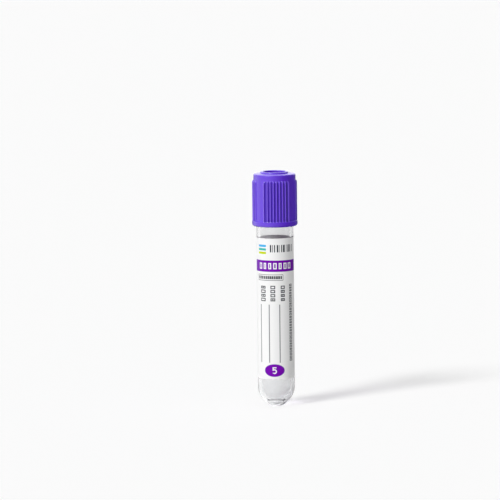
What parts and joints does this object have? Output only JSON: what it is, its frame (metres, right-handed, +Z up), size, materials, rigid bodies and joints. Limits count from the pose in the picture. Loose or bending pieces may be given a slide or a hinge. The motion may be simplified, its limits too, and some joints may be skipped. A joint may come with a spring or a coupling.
{
  "type": "blood collection tube",
  "caption": "Clear round-bottomed blood collection tube with a white printed label and a violet ribbed cap over a rubber stopper, standing on its foot.",
  "frame": {"origin": "middle of the foot, on the surface that the tube stands on", "axes": "+Z up the tube's axis, from its foot to its cap; -Y out of the label's front"},
  "size_m": [0.0162, 0.016, 0.0834],
  "materials": {
    "clear_plastic": "clear, polished moulding",
    "label_film": "white printed film with a satin face",
    "dried_additive": "thin dry film",
    "stopper_rubber": "matt moulded rubber",
    "cap_plastic": "satin moulded violet plastic"
  },
  "bodies": {
    "tube": {"tube": "clear_plastic", "label": "label_film", "additive_coating": "dried_additive"},
    "stopper": {"stopper": "stopper_rubber"},
    "cap": {"cap": "cap_plastic"}
  },
  "joints": [
    {"name": "closure_pull", "type": "slide", "parent": "tube", "child": "stopper", "axis": [0, 0, 1], "range_m": [0, 0.03]},
    {"name": "cap_twist", "type": "hinge", "parent": "stopper", "child": "cap", "pos_m": [0, 0, 0.06415], "axis": [0, 0, 1], "continuous": true}
  ]
}
